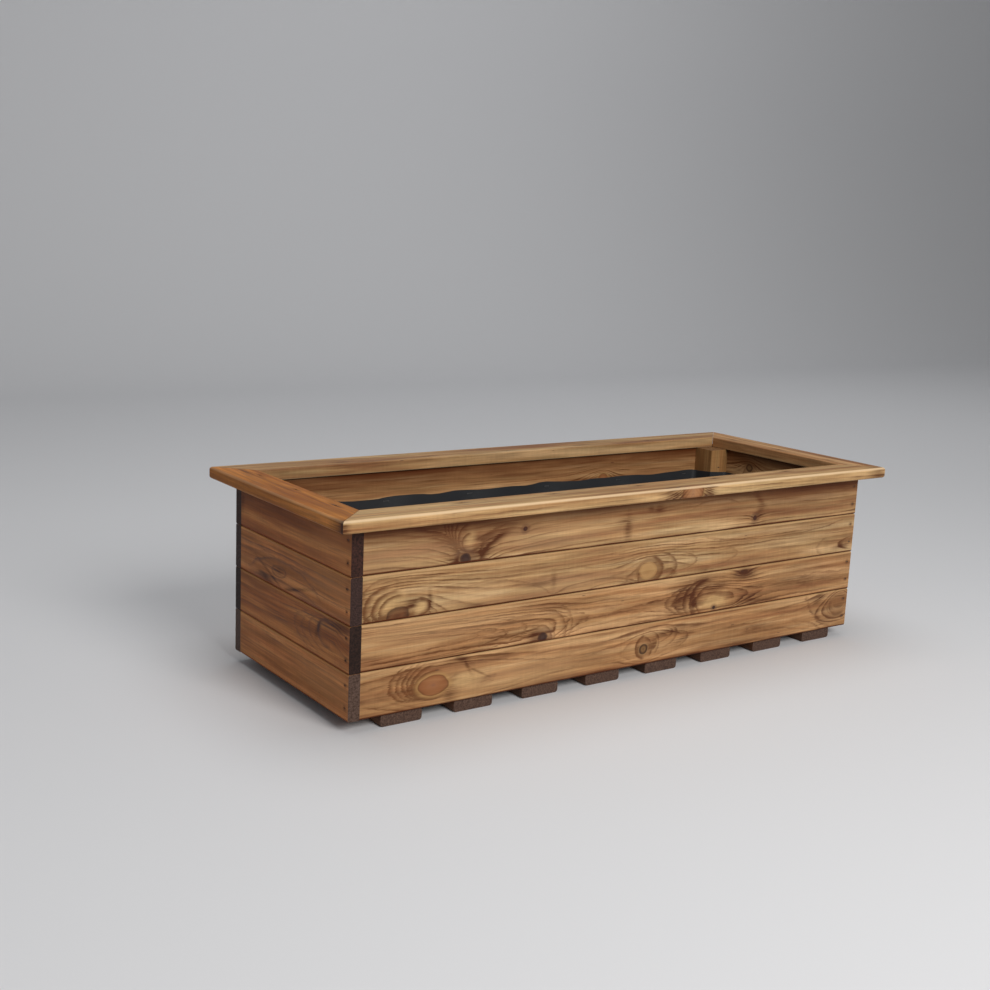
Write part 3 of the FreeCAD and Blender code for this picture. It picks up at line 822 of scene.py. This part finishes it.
def linerSheet(cloth):
    low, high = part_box("liner")
    postLow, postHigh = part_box("back_right_post")
    clear = postHigh.x - high.x  # air between the sheet and the wood
    notchX, notchY = postLow.x - clear, postLow.y - clear
    tiny = 0.01 * mm
    bpy.ops.object.select_all(action="DESELECT")
    bpy.ops.mesh.primitive_plane_add(size=1.0, location=(0, 0, 0))
    sheet = bpy.context.object
    bpy.ops.object.mode_set(mode="EDIT")
    bpy.ops.transform.resize(value=(high.x - low.x, high.y - low.y, 1))
    bpy.ops.transform.translate(value=(0, 0, low.z))
    cutAll([(x, 0, 0) for x in (-notchX, notchX)], (1, 0, 0))
    cutAll([(0, y, 0) for y in (-notchY, notchY)], (0, 1, 0))
    pick(sheet, lambda p: abs(p.x) > notchX and abs(p.y) > notchY)  # the posts stand in these corners
    bpy.ops.mesh.delete(type="FACE")
    bpy.ops.mesh.select_mode(type="EDGE")
    bpy.ops.mesh.select_all(action="SELECT")
    bpy.ops.mesh.region_to_loop()
    bpy.ops.mesh.extrude_region_move(TRANSFORM_OT_translate={"value": (0, 0, high.z - low.z)})
    bpy.ops.mesh.select_all(action="SELECT")
    bpy.ops.mesh.dissolve_limited(angle_limit=math.radians(5))
    # every fold is soft but the four that wrap the inner corners of the posts
    pick(sheet, lambda p: p.z < high.z - tiny
         and (abs(abs(p.x) - notchX) > tiny or abs(abs(p.y) - notchY) > tiny), "EDGE")
    bpy.ops.mesh.bevel(offset=cloth["bend"] * mm, segments=4, affect="EDGES")
    step, bend = cloth["step"] * mm, cloth["bend"] * mm
    cutAll([(k * step, 0, 0) for k in range(-cloth["cutsLong"], cloth["cutsLong"] + 1)], (1, 0, 0))
    cutAll([(0, k * step, 0) for k in range(-cloth["cutsShort"], cloth["cutsShort"] + 1)], (0, 1, 0))
    rise = high.z - low.z
    rowHeights = [low.z + bend + (rise - bend) * k / cloth["rows"] for k in range(1, cloth["rows"])]
    cutAll([(0, 0, z) for z in rowHeights], (0, 0, 1))
    flap = cloth["flap"] * mm
    for sideX in (-1, 1):
        for sideY in (-1, 1):
            for across in (0.0, cloth["fold"] * mm):  # both sides of the crease beside a corner fold
                pick(sheet, lambda p: p.x * sideX > high.x - tiny and p.y * sideY > 0)
                bpy.ops.mesh.bisect(plane_co=(0, (notchY - across) * sideY, low.z),
                                    plane_no=(0, rise * sideY, flap))
    bpy.ops.mesh.select_all(action="SELECT")
    bpy.ops.mesh.remove_doubles(threshold=0.1 * mm)
    bpy.ops.mesh.normals_make_consistent(inside=False)
    bpy.ops.uv.cube_project(cube_size=1.0, correct_aspect=False)
    bpy.ops.object.mode_set(mode="OBJECT")
    sheet.data.uv_layers[0].name = "weave"

    # slack moves inwards only, and dies away at the staples and at the posts
    pitch = cloth["staplePitch"] * mm
    middleStaple = (cloth["staplesLong"] - 1) / 2
    longStaples = [pitch * (k - middleStaple) for k in range(cloth["staplesLong"])]
    shortStaples = [y * mm for y in cloth["staplesShort"]]
    stapleZ = cloth["stapleHeight"] * mm
    floorEdge = cloth["floorEdge"] * mm
    for vertex in sheet.data.vertices:
        p = vertex.co.copy()
        share = (p.z - low.z) / rise
        onLong = abs(p.y) > high.y - bend - tiny
        onEnd = abs(p.x) > high.x - bend - tiny
        if share < tiny:
            inside = min(notchX - abs(p.x), notchY - abs(p.y), floorEdge) / floorEdge
            swell = max(0, 0.4 + noise.noise(p * 16))
            vertex.co.z += cloth["floorRise"] * mm * max(inside, 0) * swell
        elif onLong or onEnd:
            along = p.x if onLong else p.y
            end = notchX if onLong else notchY
            staples = longStaples if onLong else shortStaples
            flat = 1.0
            for staple in staples:
                far = math.hypot(along - staple, p.z - stapleZ) / (cloth["held"] * mm)
                flat *= 1 - math.exp(-far ** 4)
            toPost = max(0.0, min(1.0, (end - abs(along)) / (cloth["nearPost"] * mm)))
            between = abs(math.sin(math.pi * (along - staples[0]) / (staples[1] - staples[0])))
            spot = Vector((along * 13, p.z * 3, 5.0 * onLong + p.y + p.x * onEnd))
            ripple = 0.5 + 0.9 * noise.noise(spot)
            edgeStand = cloth["slack"] * between * share ** 5
            bellyStand = cloth["belly"] * max(0, ripple) * 4 * share * (1 - share)
            stand = (edgeStand + bellyStand) * toPost
            if onEnd and notchY - abs(p.y) < flap * share - tiny:
                stand += cloth["flapRise"]
            shift = stand * flat * mm
            if onLong:
                vertex.co -= Vector((0, math.copysign(shift, p.y), 0))
            else:
                vertex.co -= Vector((math.copysign(shift, p.x), 0, 0))
            if share > 1 - tiny:
                nick = max(0, 0.5 + noise.noise(Vector((along * 21, 3.3 + p.y, p.x * onEnd))))
                vertex.co.z -= cloth["edgeDrop"] * mm * nick
    return sheet


liner = linerSheet(linerCloth)
thick = liner.modifiers.new("thickness", "SOLIDIFY")
thick.thickness = linerCloth["thickness"] * mm
thick.offset = -1.0
bpy.ops.object.modifier_apply(modifier="thickness")
bpy.ops.object.shade_smooth_by_angle(angle=math.radians(50))
liner.name = linerCloth["name"]
liner.data.materials.append(wovenTape("woven_polypropylene", linerCloth))
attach(liner, "root")
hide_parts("liner")
print("liner made, faces:", len(liner.data.polygons))


# Studio: pale floor that sweeps up behind, soft light from the front, camera where the photo was taken
studio = {
    "floor": "#dcdde0",
    "halfWidth": 12.0,  # metres
    "front": -5.0,
    "back": 3.4,
    "sweep": 1.6,
    "height": 4.0,
    "air": 0.22,        # light from all round
}
studioLamps = {
    "key_softbox": {"place": (-0.2, -3.4, 2.2), "target": (0, 0, 0.2), "size": 1.8, "power": 105.0,
                    "colour": (1.0, 0.98, 0.95)},
    "backdrop_wash": {"place": (2.6, 1.4, 3.6), "target": (4.0, 5.0, 1.6), "size": 2.5, "power": 30.0,
                      "colour": (1.0, 1.0, 1.0)},
    "top_softbox": {"place": (0.0, 0.2, 3.2), "target": (0, 0, 0), "size": 2.5, "power": 30.0,
                    "colour": (1.0, 1.0, 1.0)},
}


def studioFloor():
    depth = studio["back"] - studio["front"]
    bpy.ops.object.select_all(action="DESELECT")
    bpy.ops.mesh.primitive_plane_add(size=1.0, location=(0, 0, 0))
    floor = bpy.context.object
    floor.name = "studio_floor"
    bpy.ops.object.mode_set(mode="EDIT")
    bpy.ops.transform.resize(value=(2 * studio["halfWidth"], depth, 1))
    bpy.ops.transform.translate(value=(0, (studio["back"] + studio["front"]) / 2, 0))
    pick(floor, lambda p: p.y > studio["back"] - mm, "EDGE")
    sweepCentre = (0, studio["back"], studio["sweep"])
    bpy.ops.mesh.spin(steps=16, angle=math.radians(-90), center=sweepCentre, axis=(1, 0, 0))
    bpy.ops.mesh.extrude_region_move(TRANSFORM_OT_translate={"value": (0, 0, studio["height"])})
    bpy.ops.mesh.select_all(action="SELECT")
    bpy.ops.mesh.remove_doubles(threshold=mm)
    bpy.ops.mesh.normals_make_consistent(inside=False)
    bpy.ops.object.mode_set(mode="OBJECT")
    bpy.ops.object.shade_smooth()
    material, tree = newMaterial("matt_paper_sweep")
    closeMaterial(tree, {"Base Color": hexToLinear(studio["floor"]), "Roughness": 0.9})
    floor.data.materials.append(material)


def areaLight(name, light):
    data = bpy.data.lights.new(name, "AREA")
    data.shape = "DISK"
    data.size = light["size"]
    data.energy = light["power"]
    data.color = light["colour"]
    lamp = bpy.data.objects.new(name, data)
    lamp.visible_camera = False  # it lights the part without showing in a view
    lamp.location = light["place"]
    aim = Vector(light["target"]) - Vector(light["place"])
    lamp.rotation_euler = aim.to_track_quat("-Z", "Y").to_euler()
    bpy.context.scene.collection.objects.link(lamp)


studioFloor()
for name, light in studioLamps.items():
    areaLight(name, light)

world = bpy.data.worlds.new("studio_air")
world.use_nodes = True
background = world.node_tree.nodes["Background"]
background.inputs["Color"].default_value = (1, 1, 1, 1)
background.inputs["Strength"].default_value = studio["air"]
bpy.context.scene.world = world

# camera fitted to the edges of the boards in the 990 by 990 photo
photoCamera = {
    "place": (-1.396, -1.744, 0.707),
    "forward": (0.5703, 0.798, -0.195),
    "rollDegrees": 2.55,
    "lens": 48.66,
    "sensor": 36.0,
}
cameraData = bpy.data.cameras.new("photo_camera")
cameraData.lens = photoCamera["lens"]
cameraData.sensor_width = photoCamera["sensor"]
camera = bpy.data.objects.new("photo_camera", cameraData)
camera.location = photoCamera["place"]
level = Vector(photoCamera["forward"]).to_track_quat("-Z", "Y").to_matrix()
camera.rotation_euler = (level @ Matrix.Rotation(math.radians(photoCamera["rollDegrees"]), 3, "Z")).to_euler()
bpy.context.scene.collection.objects.link(camera)
bpy.context.scene.camera = camera
bpy.context.scene.view_settings.view_transform = "Standard"
print("studio set")
